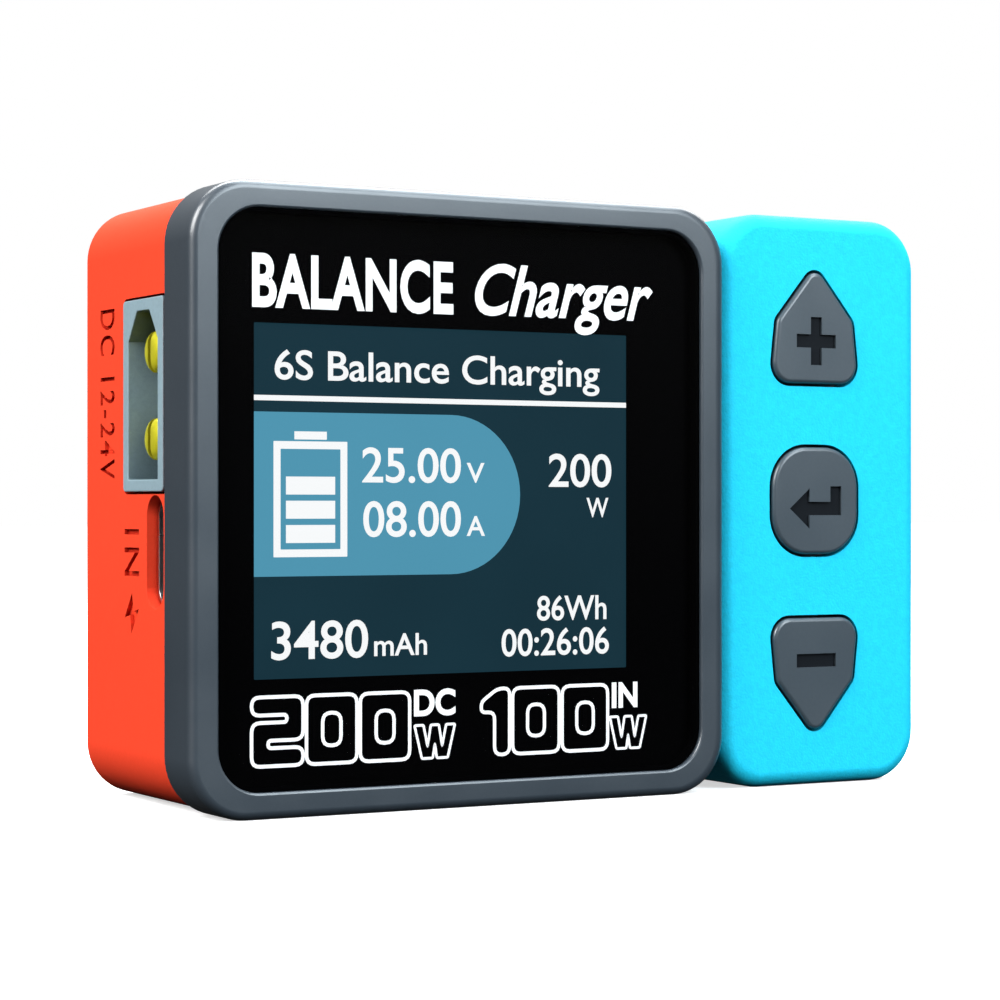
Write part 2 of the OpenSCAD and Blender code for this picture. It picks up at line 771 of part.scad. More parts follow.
module output_housing() {
    color("#2c2f33") placed() translate([0, output_y, mid_z + output_z]) difference() {
        union() {
            along_x(output_x0, total_w - nose_depth) rounded(xt_t, xt_l, 0.4);
            along_x(total_w - nose_depth - eps, total_w)
                xt_outline(nose_t, nose_l, nose_cut_t, nose_cut_l);
        }
        for (s = [-1, 1]) {
            rod_x(0, s * xt_pitch / 2, socket_outer_r + 0.03, output_x0 + 2, total_w + eps);
            rod_x(0, s * xt_pitch / 2, 1.2, output_x0 - eps, output_x0 + 2 + eps);
        }
    }
}

module output_sockets() {
    color("#f2d23a") placed() translate([0, output_y, mid_z + output_z])
        for (s = [-1, 1])
            translate([0, 0, s * xt_pitch / 2]) difference() {
                union() {
                    rod_x(0, 0, socket_outer_r, output_x0 + 2.05, total_w - socket_set_back);
                    rod_x(0, 0, 1.15, output_x0 - 0.4, output_x0 + 2.2);
                    box(output_x0 - 1.2, output_x0 - 0.2, board_back + 0.02 - output_y, 1, -0.9, 0.9);
                }
                rod_x(0, 0, socket_r, total_w - socket_depth, total_w);
            }
}

module balance_socket() {
    color("#efe9da") placed() translate([total_w - xh_depth, board_back, mid_z + balance_z]) difference() {
        box(0, xh_depth, 0, xh_t, -xh_l / 2, xh_l / 2);
        box(xh_depth - xh_cavity_depth, xh_depth + eps, xh_wall, xh_t - xh_wall,
            -xh_l / 2 + xh_wall, xh_l / 2 - xh_wall);
        for (s = [-1, 1])
            box(xh_depth - xh_key_depth, xh_depth + eps, xh_t - 1, xh_t + eps,
                s * xh_key_z - xh_key_w / 2, s * xh_key_z + xh_key_w / 2);
        for (i = [0 : balance_pin_count - 1])
            translate([-eps, xh_pin_y - board_back - xh_pin / 2 - 0.03,
                (i - (balance_pin_count - 1) / 2) * xh_pitch - xh_pin / 2 - 0.03])
                cube([6, xh_pin + 0.06, xh_pin + 0.06]);
    }
}

module balance_pins() {
    color("#e3c76a") placed() translate([total_w - xh_depth, 0, mid_z + balance_z])
        for (i = [0 : balance_pin_count - 1])
            translate([0, 0, (i - (balance_pin_count - 1) / 2) * xh_pitch - xh_pin / 2]) {
                box(-0.74, xh_depth - 1.2, xh_pin_y - xh_pin / 2, xh_pin_y + xh_pin / 2, 0, xh_pin);
                box(-0.74, -0.1, board_back + 0.02, xh_pin_y, 0, xh_pin);
            }
}

// ---- Fan --------------------------------------------------------------------------------------

module fan_frame() {
    color("#16171a") placed() translate([fan_x, 0, fan_z]) difference() {
        union() {
            along_y(fan_y0, fan_y1) difference() {
                rounded(fan_size, fan_size, 2);
                circle(fan_bore_r);
            }
            rod_y(0, 0, 7, fan_y0, fan_y0 + 0.8);
            for (a = [45 : 90 : 315])
                rotate([0, a, 0])
                    box(6, fan_bore_r + 0.4, fan_y0, fan_y0 + 0.9, -fan_arm_w / 2, fan_arm_w / 2);
        }
        for (sx = [-1, 1], sz = [-1, 1])
            rod_y(sx * fan_hole, sz * fan_hole, m2_bore, fan_y0 - eps, fan_y1 + eps);
    }
}

module fan_bearing() {
    color("#c8a24a") placed() translate([fan_x, 0, fan_z]) difference() {
        rod_y(0, 0, bearing_outer_r, fan_y0 + 0.8, fan_y0 + 5.1);
        rod_y(0, 0, bearing_r, fan_y0 + 0.8 - eps, fan_y0 + 5.1 + eps);
    }
}

module fan_stator() {
    color("#b5652b") placed() translate([fan_x, 0, fan_z]) along_y(fan_y0 + 1.8, fan_y0 + 4.8) difference() {
        circle(stator_r);
        circle(bearing_outer_r + 0.05);
        for (a = [0 : 90 : 270])
            rotate(a + 45) translate([3.1, -0.9]) square([3, 1.8]);
    }
}

// One blade: a cambered sheet whose section is a thin arc, cut to the blade's tip circle
module fan_blade(y0, y1) {
    half = (y1 - y0) / 2;
    chord = norm([half, half]);
    lift = sqrt(blade_camber_r * blade_camber_r - chord * chord) / sqrt(2);
    intersection() {
        along_x(7.0, fan_tip_r) intersection() {
            translate([(y0 + y1) / 2 - lift, lift]) difference() {
                circle(blade_camber_r + blade_t / 2);
                circle(blade_camber_r - blade_t / 2);
            }
            translate([y0, -half - 0.2]) square([y1 - y0, 2 * half + 0.4]);
        }
        rod_y(0, 0, fan_tip_r, y0, y1);
    }
}

module fan_rotor() {
    color("#1b1c1f") placed() translate([fan_x, 0, fan_z]) {
        difference() {
            rod_y(0, 0, fan_hub_r, fan_y0 + 1.4, fan_y1 - 0.4);
            rod_y(0, 0, fan_hub_r - fan_hub_cup, fan_y0 + 1.4 - eps, fan_y1 - 1.2);
        }
        rod_y(0, 0, shaft_r, fan_y0 + 1.5, fan_y1 - 1.1);
        for (i = [0 : fan_blades - 1])
            rotate([0, i * 360 / fan_blades, 0]) fan_blade(fan_y0 + 1.5, fan_y1 - 0.8);
    }
}

module fan_magnet() {
    color("#3c3c40") placed() translate([fan_x, 0, fan_z]) along_y(fan_y0 + 1.6, fan_y1 - 1.4) difference() {
        circle(fan_hub_r - 0.65);
        circle(fan_hub_r - 1.4);
    }
}

module fan_grille() {
    y0 = total_d - 0.2 - grille_t;
    color("#26282b") placed() translate([fan_x, 0, fan_z]) along_y(y0, y0 + grille_t) {
        for (r = grille_rings)
            difference() {
                circle(r);
                circle(r - grille_ring_w);
            }
        circle(2.2);
        for (a = [45 : 90 : 315])
            rotate(a) translate([1.5, -0.5]) square([grille_r - 2, 1]);
    }
}

module fan_plug() {
    color("#e9e4d6") placed()
        box(plug_x[0], plug_x[1], board_back, board_back + plug_h, plug_z[0], plug_z[1]);
}

module fan_lead() {
    color("#a01818") placed()
        for (x = wire_x)
            rod_y(x, wire_z, wire_r, board_back + plug_h, fan_y0);
}

// ---- Keys -------------------------------------------------------------------------------------

module switch_bodies() {
    color("#2a2b2e") placed()
        for (z = key_z)
            difference() {
                translate([key_x, 0, z]) along_y(switch_y, board_y) rounded(switch_size, switch_size, 0.5);
                rod_y(key_x, z, plunger_r + 0.06, switch_y - eps, switch_floor);
            }
}

module plunger(z) {
    color("#101113") placed() rod_y(key_x, z, plunger_r, key_back, plunger_back);
}

module plunger_up() {
    plunger(key_z[0]);
}

module plunger_enter() {
    plunger(key_z[1]);
}

module plunger_down() {
    plunger(key_z[2]);
}

// The upper and lower keys: s is 1 for the upper one and -1 for its mirror image
module arrow_key(z, s) {
    translate([key_x, 0, z]) difference() {
        union() {
            along_y(key_front, key_flange_y + eps) mirror([0, s < 0 ? 1 : 0]) arrow_outline();
            along_y(key_flange_y, key_back) mirror([0, s < 0 ? 1 : 0]) arrow_outline(key_lip);
        }
        along_y(key_front - eps, key_front + symbol_depth) {
            square([symbol_w, symbol_bar], center = true);
            if (s > 0)
                square([symbol_bar, symbol_w], center = true);
        }
    }
}

module key_up() {
    color("#5f686f") placed() arrow_key(key_z[0], 1);
}

module key_down() {
    color("#5f686f") placed() arrow_key(key_z[2], -1);
}

module enter_symbol() {
    polygon([[-2.9, -0.7], [-0.75, 1.1], [-0.75, -0.1], [1.55, -0.1], [1.55, 1.3], [2.75, 1.3],
        [2.75, -1.3], [-0.75, -1.3], [-0.75, -2.5]]);
}

module key_enter() {
    color("#5f686f") placed() translate([key_x, 0, key_z[1]]) difference() {
        union() {
            along_y(key_front, key_flange_y + eps) enter_outline();
            along_y(key_flange_y, key_back) enter_outline(key_lip);
        }
        along_y(key_front - eps, key_front + symbol_depth) enter_symbol();
    }
}

// ---- Screws -----------------------------------------------------------------------------------

module case_screws() {
    color("#2e3033") placed()
        for (x = screw_x, z = screw_z)
            screw(x, z, total_d - case_head_depth + head_play, case_head_t, bezel_bore_y + 0.2);
}

module side_cover_screws() {
    color("#2e3033") placed()
        for (p = side_screws)
            screw(p.x, p.y, total_d - small_head_depth + head_play, small_head_t, side_bore_y + 1);
}

module fan_screws() {
    color("#2e3033") placed()
        for (sx = [-1, 1], sz = [-1, 1])
            screw(fan_x + sx * fan_hole, fan_z + sz * fan_hole, total_d - small_head_depth + head_play,
                small_head_t, fan_y0 + 1);
}

module board_screws() {
    color("#c4c8cc") placed()
        for (p = concat(bezel_posts, side_posts))
            screw(p.x, p.y, board_back, small_head_t, post_bore_y + 0.4, board_screw_r, board_head_r);
}

front_bezel();
front_glass();
glass_adhesive();
lcd_cell();
lcd_backlight();
lcd_frame();
lcd_ribbon();
ribbon_connector();
rear_case();
side_case();
side_back_cover();
main_board();
microcontroller();
dc_input_housing();
dc_input_pins();
usb_c_shell();
usb_c_tongue();
output_housing();
output_sockets();
balance_socket();
balance_pins();
heatsink();
thermal_pad();
mosfets();
power_inductors();
capacitors();
current_shunts();
balance_resistors();
buzzer();
fan_frame();
fan_bearing();
fan_stator();
fan_rotor();
fan_magnet();
fan_grille();
fan_plug();
fan_lead();
switch_bodies();
key_up();
key_enter();
key_down();
plunger_up();
plunger_enter();
plunger_down();
case_screws();
side_cover_screws();
board_screws();
fan_screws();
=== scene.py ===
import math

import bmesh
import bpy
from mathutils import Matrix, Vector


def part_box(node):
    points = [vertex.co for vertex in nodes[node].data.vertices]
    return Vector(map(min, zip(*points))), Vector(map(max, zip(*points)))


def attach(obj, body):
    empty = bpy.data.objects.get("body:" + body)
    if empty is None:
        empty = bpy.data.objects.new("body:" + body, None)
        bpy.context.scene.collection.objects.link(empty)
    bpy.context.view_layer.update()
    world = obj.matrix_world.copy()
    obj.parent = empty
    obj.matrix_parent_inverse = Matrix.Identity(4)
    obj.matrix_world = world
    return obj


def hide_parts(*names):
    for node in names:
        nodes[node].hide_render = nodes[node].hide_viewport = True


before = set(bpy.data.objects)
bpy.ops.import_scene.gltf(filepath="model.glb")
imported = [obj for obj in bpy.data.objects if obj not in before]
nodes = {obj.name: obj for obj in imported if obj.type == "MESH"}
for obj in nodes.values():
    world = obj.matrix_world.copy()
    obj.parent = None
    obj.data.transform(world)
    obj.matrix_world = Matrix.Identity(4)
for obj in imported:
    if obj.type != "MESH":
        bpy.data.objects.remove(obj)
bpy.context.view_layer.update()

# Shapes are drawn in millimetres from the bezel's left edge (X), the front plane (Y, to the back)
# and the underside (Z, up). piece() brings them into the shared frame.
MM = 0.001
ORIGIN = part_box("front_bezel")[0]
TO_FRAME = Matrix.Translation(ORIGIN) @ Matrix.Scale(MM, 4)
TO_DRAWING = TO_FRAME.inverted()
scene = bpy.context.scene


def span(node):
    """Lowest and highest corner of a CAD node, in the drawing's millimetres."""
    low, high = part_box(node)
    return TO_DRAWING @ low, TO_DRAWING @ high


# Half of the bezel's height, where both front faces have their middle
MID = span("front_bezel")[1].z / 2
# Points along each quarter round of the bezel's and the glass's outlines
CORNER_STEPS = 14


# ---- Outlines: lists of points, anticlockwise -----------------------------------------------------

def arc(cx, cz, r, start, end, steps):
    turns = [math.radians(start + (end - start) * i / steps) for i in range(steps + 1)]
    return [(cx + r * math.cos(a), cz + r * math.sin(a)) for a in turns]


def rounded_rect(cx, cz, w, h, r, steps=10):
    points = []
    for sx, sz, start in ((1, 1, 0), (-1, 1, 90), (-1, -1, 180), (1, -1, 270)):
        points += arc(cx + sx * (w / 2 - r), cz + sz * (h / 2 - r), r, start, start + 90, steps)
    return points


def round_outline(corners, grow, steps=10):
    """Convex outline from its corners, each the centre and radius of an arc, all grown alike."""
    count = len(corners)

    def normal_angle(i):
        (x0, z0, r0), (x1, z1, r1) = corners[i % count], corners[(i + 1) % count]
        lean = math.acos((r0 - r1) / math.hypot(x1 - x0, z1 - z0))
        return math.degrees(math.atan2(z1 - z0, x1 - x0) - lean)

    points = []
    for i in range(count):
        x, z, r = corners[(i + 1) % count]
        start = normal_angle(i)
        turn = (normal_angle(i + 1) - start) % 360
        points += arc(x, z, r + grow, start, start + turn, steps)
    return points


def fillet(points, r, steps=4):
    """A closed outline with its corners rounded off by about r."""
    corners = [Vector(p) for p in points]
    out = []
    for i, corner in enumerate(corners):
        before, after = corners[i - 1] - corner, corners[(i + 1) % len(corners)] - corner
        reach = min(r, 0.48 * before.length, 0.48 * after.length)
        start, end = corner + before.normalized() * reach, corner + after.normalized() * reach
        for k in range(steps + 1):
            t = k / steps
            out.append(tuple(start.lerp(corner, t).lerp(corner.lerp(end, t), t)))
    return out


def offset(points, distance):
    """A closed outline moved outwards by distance (inwards if negative), with mitred corners."""
    out = []
    corners = [Vector(p) for p in points]
    for i, corner in enumerate(corners):
        along = (corner - corners[i - 1]).normalized()
        ahead = (corners[(i + 1) % len(corners)] - corner).normalized()
        side, next_side = Vector((along.y, -along.x)), Vector((ahead.y, -ahead.x))
        mitre = (side + next_side).normalized()
        out.append(tuple(corner + mitre * (distance / max(mitre.dot(side), 0.3))))
    return out


# ---- Solids ---------------------------------------------------------------------------------------

def along_y(u, v, depth):
    return (u, depth, v)


def along_x(u, v, depth):
    return (depth, u, v)


def loft(sections, axis=along_y, closed=False):
    """Vertices and faces through (outline, depth) sections; closed joins the last to the first."""
    count = len(sections[0][0])
    verts = [axis(u, v, depth) for outline, depth in sections for u, v in outline]
    faces = []
    for k in range(len(sections) if closed else len(sections) - 1):
        a, b = k * count, (k + 1) % len(sections) * count
        faces += [(a + i, a + (i + 1) % count, b + (i + 1) % count, b + i) for i in range(count)]
    if not closed:
        faces += [tuple(range(count)), tuple(range(len(verts) - count, len(verts)))]
    return verts, faces


def rounded_depths(y0, y1, front, back, steps=6):
    """(inset, depth) pairs of a slab whose front and back edges are rounded."""
    quarter = [math.pi / 2 * i / steps for i in range(steps + 1)]
    pairs = [(front * (1 - math.sin(a)), y0 + front * (1 - math.cos(a))) for a in quarter]
    return pairs + [(back * (1 - math.sin(a)), y1 - back * (1 - math.cos(a))) for a in reversed(quarter)]


def slab(outline, y0, y1, front, back):
    """Solid of an outline function of inset, with rounded front and back edges."""
    return loft([(outline(inset), depth) for inset, depth in rounded_depths(y0, y1, front, back)])


def prism(outline, y0, y1):
    return loft([(outline, y0), (outline, y1)])


def frame_band(outer, inner, y0, y1):
    """A flat ring between two outlines with the same number of points."""
    return loft([(outer, y0), (outer, y1), (inner, y1), (inner, y0)], closed=True)


def box(x0, x1, y0, y1, z0, z1):
    return prism([(x0, z0), (x1, z0), (x1, z1), (x0, z1)], y0, y1)


def lathe(profile, cy, cz, steps=64):
    """Solid of revolution along X from (radius, place) pairs, from its left end to its right end."""
    turns = [2 * math.pi * i / steps for i in range(steps)]
    ring = [(math.cos(a), math.sin(a)) for a in turns]
    return loft([([(cy + r * u, cz + r * v) for u, v in ring], x) for r, x in profile], along_x)


def merge(shapes):
    """Vertices and faces of several shapes as one shape."""
    verts, faces = [], []
    for shape_verts, shape_faces in shapes:
        base = len(verts)
        verts += shape_verts
        faces += [tuple(base + i for i in face) for face in shape_faces]
    return verts, faces


def solid(name, *shapes):
    """An object of one or more closed shapes, with its normals outwards."""
    mesh = bpy.data.meshes.new(name)
    verts, faces = merge(shapes)
    mesh.from_pydata(verts, [], faces)
    tidy(mesh)
    obj = bpy.data.objects.new(name, mesh)
    scene.collection.objects.link(obj)
    return obj


def tidy(mesh, flat_angle=None):
    """Joins doubled points, and with flat_angle also the triangles of each flat face."""
    work = bmesh.new()
    work.from_mesh(mesh)
    bmesh.ops.remove_doubles(work, verts=work.verts, dist=1e-4)
    if flat_angle is not None:
        bmesh.ops.dissolve_limit(work, angle_limit=math.radians(flat_angle), use_dissolve_boundaries=False,
                                 verts=work.verts, edges=work.edges)
    bmesh.ops.recalc_face_normals(work, faces=work.faces)
    work.to_mesh(mesh)
    work.free()


def applied(obj):
    """obj with its modifiers turned into its own mesh."""
    graph = bpy.context.evaluated_depsgraph_get()
    mesh = bpy.data.meshes.new_from_object(obj.evaluated_get(graph))
    obj.modifiers.clear()
    obj.data = mesh
    return obj


def boolean(obj, operation, *shapes):
    """Joins shapes to obj, cuts them out of it or keeps what they share with it."""
    tool = solid(obj.name + ".tool", *shapes)
    modifier = obj.modifiers.new("boolean", "BOOLEAN")
    modifier.object = tool
    modifier.operation = operation
    modifier.solver = "EXACT"
    modifier.use_self = len(shapes) > 1
    applied(obj)
    bpy.data.objects.remove(tool)


def cut(obj, *shapes):
    boolean(obj, "DIFFERENCE", *shapes)


def soften(obj, width, segments=3, angle=40):
    """Rounds every edge that turns by more than angle."""
    modifier = obj.modifiers.new("bevel", "BEVEL")
    modifier.width = width
    modifier.segments = segments
    modifier.limit_method = "ANGLE"
    modifier.angle_limit = math.radians(angle)
    modifier.miter_outer = "MITER_ARC"
    return applied(obj)


def from_cad(name, node):
    """A new object with a CAD node's shape, in the drawing's millimetres."""
    mesh = nodes[node].data.copy()
    mesh.transform(TO_DRAWING)
    if mesh.has_custom_normals:
        mesh.attributes.remove(mesh.attributes["custom_normal"])
    tidy(mesh, flat_angle=0.4)
    obj = bpy.data.objects.new(name, mesh)
    scene.collection.objects.link(obj)
    return obj


def piece(obj, body, material, slot, stands_for=(), angle=30):
    """Brings a drawn object into the frame, with its finish, its body and the nodes it stands for.

    Edges that turn by less than angle are shaded smooth.
    """
    obj.data.transform(TO_FRAME)
    obj.data.materials.clear()
    obj.data.materials.append(material)
    obj.data.polygons.foreach_set("use_smooth", [True] * len(obj.data.polygons))
    obj.data.set_sharp_from_angle(angle=math.radians(angle))
    modifier = obj.modifiers.new("flat faces", "WEIGHTED_NORMAL")
    modifier.keep_sharp = True
    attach(obj, body)
    if stands_for:
        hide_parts(*stands_for)


# ---- Lettering ------------------------------------------------------------------------------------

def word_mesh(text, bold=0.0, slant=0.0, spacing=1.0):
    """Vertices and faces of a word in the built-in font, one unit high and thick."""
    curve = bpy.data.curves.new("word", "FONT")
    curve.body = text
    curve.extrude = 0.5
    curve.offset = bold
    curve.shear = slant
    curve.space_character = spacing
    curve.resolution_u = 6
    obj = bpy.data.objects.new("word", curve)
    scene.collection.objects.link(obj)
    mesh = bpy.data.meshes.new_from_object(obj.evaluated_get(bpy.context.evaluated_depsgraph_get()))
    verts = [v.co.copy() for v in mesh.vertices]
    faces = [tuple(p.vertices) for p in mesh.polygons]
    bpy.data.objects.remove(obj)
    return verts, faces


CAP_HEIGHT = max(v.y for v in word_mesh("H")[0])


def on_front(x, z, back, thickness):
    """Places letters on a plane that faces the front, from their lower left corner."""
    return lambda u, v, t: (x + u, back - t * thickness, z + v)


def on_left(y, z, x, thickness):
    """Places letters on the left side, reading downwards, their tops to the front."""
    return lambda u, v, t: (x + t * thickness, y - v, z - u)


def word(text, width, cap, place, **style):
    """Letters of a given width and capital height, as a closed shape."""
    verts, faces = word_mesh(text, **style)
    left, right = min(v.x for v in verts), max(v.x for v in verts)
    across, up = width / (right - left), cap / CAP_HEIGHT
    return [place((v.x - left) * across, v.y * up, v.z + 0.5) for v in verts], faces


# ---- Materials ------------------------------------------------------------------------------------

def node_material(name):
    material = bpy.data.materials.new(name)
    material.use_nodes = True
    tree = material.node_tree
    return material, tree, tree.nodes["Principled BSDF"]


def noise(tree, size_mm, detail=2.0, stretch=(1, 1, 1)):
    """Noise whose grains are about size_mm across, the same from every side of the piece."""
    place = tree.nodes.new("ShaderNodeTexCoord")
    mapping = tree.nodes.new("ShaderNodeMapping")
    mapping.inputs["Scale"].default_value = stretch
    texture = tree.nodes.new("ShaderNodeTexNoise")
    texture.inputs["Scale"].default_value = 1 / (size_mm * MM)
    texture.inputs["Detail"].default_value = detail
    tree.links.new(place.outputs["Object"], mapping.inputs["Vector"])
    tree.links.new(mapping.outputs["Vector"], texture.inputs["Vector"])
    return texture.outputs["Fac"]


def ramp(tree, source, low, high, start=0.3, end=0.7):
    """Source between start and end, turned into low to high."""
    node = tree.nodes.new("ShaderNodeMapRange")
    node.inputs["From Min"].default_value = start
    node.inputs["From Max"].default_value = end
    node.inputs["To Min"].default_value = low
    node.inputs["To Max"].default_value = high
    tree.links.new(source, node.inputs["Value"])
    return node.outputs["Result"]


def blend_colours(tree, factor, low, high):
    node = tree.nodes.new("ShaderNodeMix")
    node.data_type = "RGBA"
    node.inputs["A"].default_value = (*low, 1)
    node.inputs["B"].default_value = (*high, 1)
    tree.links.new(factor, node.inputs["Factor"])
    return node.outputs["Result"]


def paint_shade_in_recesses(tree, base, deep, reach_mm):
    # painted shade: by ambient occlusion, the colour turns to its shaded version in corners and hollows
    # within reach_mm
    openness = tree.nodes.new("ShaderNodeAmbientOcclusion")
    openness.samples = 6
    openness.inputs["Distance"].default_value = reach_mm * MM
    node = tree.nodes.new("ShaderNodeMix")
    node.data_type = "RGBA"
    tree.links.new(ramp(tree, openness.outputs["AO"], 0.0, 1.0, 0.25, 0.88), node.inputs["Factor"])
    node.inputs["A"].default_value = (*deep, 1)
    tree.links.new(base, node.inputs["B"])
    return node.outputs["Result"]


def shade_of(colour, share):
    return tuple(min(1.0, c * share) for c in colour)


def deep_shade(colour):
    """The same colour in shade: darker and stronger."""
    return tuple(0.3 * c ** 1.6 for c in colour)


# How far gloss patches depart from a surface's roughness, and how wide they are in mm
GLOSS_SPREAD = 0.06
GLOSS_PATCH_MM = 9.0
COAT_ROUGHNESS = 0.22


def surface(name, colour, roughness, metallic=0.0, specular=0.5, grain_mm=0.3, grain=0.1, mottle=0.05,
            stretch=(1, 1, 1), coat=0.0, glow=0.0, painted_shade_mm=0.0):
    """Moulded, painted or plated surface: fine grain in the relief, specks in colour, patches in gloss.

    With a shade reach in mm, corners and hollows within that reach get painted shade: their colour turns
    darker and stronger, as if less light reached them.
    """
    material, tree, shader = node_material(name)
    shader.inputs["Metallic"].default_value = metallic
    shader.inputs["Specular IOR Level"].default_value = specular
    shader.inputs["Coat Weight"].default_value = coat
    shader.inputs["Coat Roughness"].default_value = COAT_ROUGHNESS
    # painted light: with a glow, the surface gives off light in its own colour, though it is no lamp
    shader.inputs["Emission Color"].default_value = (*colour, 1)
    shader.inputs["Emission Strength"].default_value = glow
    fine = noise(tree, grain_mm, 3.0, stretch)
    patches = noise(tree, GLOSS_PATCH_MM, 4.0, stretch)
    speck = noise(tree, grain_mm * 2.2, 2.0, stretch)
    colour_from = ramp(tree, speck, 0.0, 1.0)
    base = blend_colours(tree, colour_from, shade_of(colour, 1 - mottle), shade_of(colour, 1 + mottle))
    # painted shade in corners and hollows
    if painted_shade_mm:
        base = paint_shade_in_recesses(tree, base, deep_shade(colour), painted_shade_mm)
    tree.links.new(base, shader.inputs["Base Color"])
    tree.links.new(ramp(tree, patches, roughness - GLOSS_SPREAD, roughness + GLOSS_SPREAD),
                   shader.inputs["Roughness"])
    bump = tree.nodes.new("ShaderNodeBump")
    bump.inputs["Strength"].default_value = grain
    bump.inputs["Distance"].default_value = grain_mm * MM * 0.3
    tree.links.new(fine, bump.inputs["Height"])
    tree.links.new(bump.outputs["Normal"], shader.inputs["Normal"])
    return material


def clear_glass(name):
    """Cover glass: light goes straight through, and its surface mirrors a few per cent."""
    material, tree, shader = node_material(name)
    tree.nodes.remove(shader)
    output = tree.nodes["Material Output"]
    through = tree.nodes.new("ShaderNodeBsdfTransparent")
    gloss = tree.nodes.new("ShaderNodeBsdfGlossy")
    tree.links.new(ramp(tree, noise(tree, 6.0, 3.0), 0.02, 0.07), gloss.inputs["Roughness"])
    slant = tree.nodes.new("ShaderNodeLayerWeight")
    slant.inputs["Blend"].default_value = 0.5
    mirror = add_math(tree, "POWER", slant.outputs["Facing"], 5.0)
    mix = tree.nodes.new("ShaderNodeMixShader")
    tree.links.new(ramp(tree, mirror, 0.012, 1.0, 0.0, 1.0), mix.inputs["Fac"])
    tree.links.new(through.outputs["BSDF"], mix.inputs[1])
    tree.links.new(gloss.outputs["BSDF"], mix.inputs[2])
    tree.links.new(mix.outputs["Shader"], output.inputs["Surface"])
    return material


# Distance from one pixel of the display to the next, in mm
PIXEL_PITCH = 0.1095


def lit_pixels(name, colour, fade=0.0):
    """Lit area of the display: a fine grid of pixels, a little dimmer in broad random patches if asked."""
    material, tree, shader = node_material(name)
    shader.inputs["Base Color"].default_value = (0.002, 0.002, 0.003, 1)
    shader.inputs["Roughness"].default_value = 0.5
    shader.inputs["Specular IOR Level"].default_value = 0.0
    place = tree.nodes.new("ShaderNodeTexCoord")
    split = tree.nodes.new("ShaderNodeSeparateXYZ")
    tree.links.new(place.outputs["Object"], split.inputs["Vector"])
    pixel = PIXEL_PITCH * MM
    waves = []
    for axis in ("X", "Z"):
        scaled = add_math(tree, "MULTIPLY", split.outputs[axis], 2 * math.pi / pixel)
        waves.append(add_math(tree, "ABSOLUTE", add_math(tree, "SINE", scaled)))
    grid = add_math(tree, "MINIMUM", waves[0], waves[1])
    patches = ramp(tree, noise(tree, 14.0, 2.0), 1 - fade, 1.0)
    level = add_math(tree, "MULTIPLY", ramp(tree, grid, 0.93, 1.03, 0.0, 0.5), patches)
    tree.links.new(blend_colours(tree, level, (0, 0, 0), colour), shader.inputs["Emission Color"])
    shader.inputs["Emission Strength"].default_value = 1.0
    return material


def add_math(tree, operation, first, second=0.0):
    node = tree.nodes.new("ShaderNodeMath")
    node.operation = operation
    for socket, value in zip(node.inputs, (first, second)):
        if isinstance(value, (int, float)):
            socket.default_value = value
        else:
            tree.links.new(value, socket)
    return node.outputs["Value"]


BEZEL = surface("bezel_paint", (0.038, 0.051, 0.065), 0.36, specular=1.0, grain_mm=0.12, grain=0.10,
                mottle=0.04, coat=0.25)
# painted shade: the engraved marks, slots and corners of the orange case darken within 0.7 mm
ORANGE = surface("orange_abs", (1.0, 0.070, 0.027), 0.60, specular=0.12, grain_mm=0.16, grain=0.12,
                 mottle=0.03, painted_shade_mm=0.7)
# painted shade: the gaps round the keys and the corners of the blue module darken within 0.4 mm
BLUE = surface("blue_abs", (0.014, 0.68, 0.95), 0.66, specular=0.2, grain_mm=0.22, grain=0.5,
               mottle=0.05, painted_shade_mm=0.4)
# painted shade: the keys' sides darken near the module face, within 0.6 mm
KEY = surface("key_rubber", (0.056, 0.074, 0.090), 0.34, specular=0.8, grain_mm=0.14, grain=0.10,
              mottle=0.04, coat=0.3, painted_shade_mm=0.6)
SYMBOL = surface("symbol_ink", (0.007, 0.009, 0.012), 0.6, specular=0.1, grain_mm=0.1, grain=0.1)
GLASS = clear_glass("cover_glass")
INK = surface("black_ink", (0.0010, 0.0010, 0.0012), 0.6, specular=0.0, grain_mm=0.1, grain=0.05)
# painted light: the white print glows a little on top of its lit colour, to look whiter
PRINT = surface("white_print", (0.97, 0.97, 0.97), 0.55, specular=0.1, grain_mm=0.06, grain=0.1,
                mottle=0.02, glow=0.22)
# painted shade: the inside of the inlet's and the outlet's cavities darkens within 6 mm
PORT_GREY = surface("port_nylon", (0.282, 0.40, 0.455), 0.45, specular=0.5, grain_mm=0.15, grain=0.12,
                    mottle=0.05, painted_shade_mm=6.0)
# painted shade: the pins' slits and the socket bores darken within 1.6 mm
BRASS = surface("plated_pin", (0.95, 0.88, 0.04), 0.22, metallic=0.5, grain_mm=0.2, grain=0.05,
                mottle=0.05, painted_shade_mm=1.6)
GOLD = surface("gold_contact", (0.88, 0.66, 0.16), 0.28, metallic=1.0, grain_mm=0.2, grain=0.05,
               mottle=0.05)
STEEL = surface("drawn_steel", (0.60, 0.64, 0.66), 0.28, metallic=1.0, grain_mm=0.1, grain=0.08,
                stretch=(0.1, 1, 1))
WHITE_NYLON = surface("white_nylon", (0.80, 0.77, 0.68), 0.45, grain_mm=0.15, grain=0.1, mottle=0.03)
FAN_BLACK = surface("fan_pbt", (0.016, 0.017, 0.019), 0.38, grain_mm=0.12, grain=0.12)
GRILLE = surface("grille_abs", (0.028, 0.030, 0.033), 0.5, grain_mm=0.16, grain=0.2)
SCREW = surface("black_oxide", (0.030, 0.030, 0.032), 0.35, metallic=0.8, grain_mm=0.1, grain=0.1)
BOARD = surface("solder_mask", (0.012, 0.075, 0.035), 0.3, grain_mm=0.5, grain=0.1, mottle=0.15)
CHIP = surface("chip_epoxy", (0.018, 0.018, 0.020), 0.6, grain_mm=0.08, grain=0.2)
